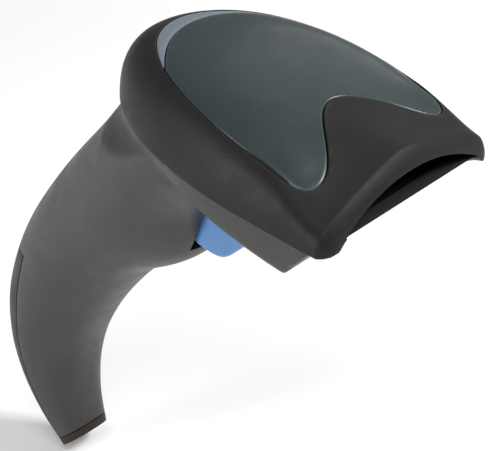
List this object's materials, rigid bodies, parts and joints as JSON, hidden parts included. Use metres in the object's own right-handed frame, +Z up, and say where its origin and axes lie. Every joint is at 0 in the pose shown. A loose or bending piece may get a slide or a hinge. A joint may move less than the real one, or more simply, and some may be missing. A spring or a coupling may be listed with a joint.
{
  "type": "handheld barcode scanner",
  "caption": "Pistol-grip barcode scanner: a curved hollow handle under a wide head with an arched scan window, a sprung trigger and an imaging engine inside.",
  "frame": {"origin": "bottom centre of the bounding box, at the height of the handle's lowest edge, in the symmetry plane of the outer casing", "axes": "+Z up as the scanner is held, -Y the way the nose points, X across the head"},
  "size_m": [0.0668, 0.1419, 0.1579],
  "materials": {
    "black_cover": "soft-touch fine grain, warm near-black",
    "grey_housing": "fine spark-eroded texture, mid-dark grey",
    "rear_plastic": "smooth matt, dark brownish grey",
    "panel": "semi-gloss dark green-grey inlay",
    "blue_trigger": "satin cornflower blue",
    "indicator": "translucent blue-grey",
    "window": "dark red filter, polished",
    "inner_black": "matt black",
    "rubber": "matt black elastomer",
    "circuit_green": "green solder mask",
    "chip": "matt moulded black",
    "steel": "bright zinc-plated steel",
    "gold": "gold-flashed contact",
    "glass": "clear optical",
    "white_plastic": "natural white moulding",
    "led": "pale resin",
    "flex": "amber polyimide film",
    "cable": "black jacket"
  },
  "bodies": {
    "housing": {"aimer_led": "led", "aimer_lens": "glass", "beeper": "chip", "board_screw_1": "steel", "board_screw_2": "steel", "board_screw_3": "steel", "board_screw_4": "steel", "decoder_chip": "chip", "engine_board": "circuit_green", "engine_chassis": "chip", "engine_connector": "white_plastic", "engine_flex": "flex", "engine_mount_1": "rubber", "engine_mount_2": "rubber", "engine_screw_1": "steel", "engine_screw_2": "steel", "harness_connector": "white_plastic", "housing_screw_1": "steel", "housing_screw_2": "steel", "illumination_led": "led", "illumination_lens": "glass", "image_sensor": "glass", "imager_lens": "glass", "indicator_led": "led", "indicator_lens": "indicator", "inlay_panel": "panel", "interface_harness": "cable", "interface_socket": "chip", "lens_barrel": "inner_black", "light_pipe": "glass", "lower_housing": "grey_housing", "main_board": "circuit_green", "memory_chip": "chip", "nose_bezel": "inner_black", "rear_cover": "rear_plastic", "scan_window": "window", "socket_contact_1": "gold", "socket_contact_2": "gold", "socket_contact_3": "gold", "socket_contact_4": "gold", "switch_board": "circuit_green", "switch_body": "chip", "top_cover": "black_cover", "trigger_pin": "steel", "trigger_spring": "steel", "window_gasket": "rubber"},
    "trigger": {"trigger": "blue_trigger"},
    "plunger": {"switch_plunger": "white_plastic"}
  },
  "joints": [
    {"name": "trigger_pull", "type": "hinge", "parent": "housing", "child": "trigger", "pos_m": [0, -0.01929, 0.1259], "axis": [1, 0, 0], "range_deg": [0, 6], "stiffness_Nm_per_rad": 0.1, "springref_deg": -23.49},
    {"name": "plunger_press", "type": "slide", "parent": "housing", "child": "plunger", "axis": [0, 1, 0], "range_m": [0, 0.0018]}
  ],
  "couplings": [
    {"joint": "plunger_press", "follows": "trigger_pull", "m_per_rad": 0.0164}
  ]
}
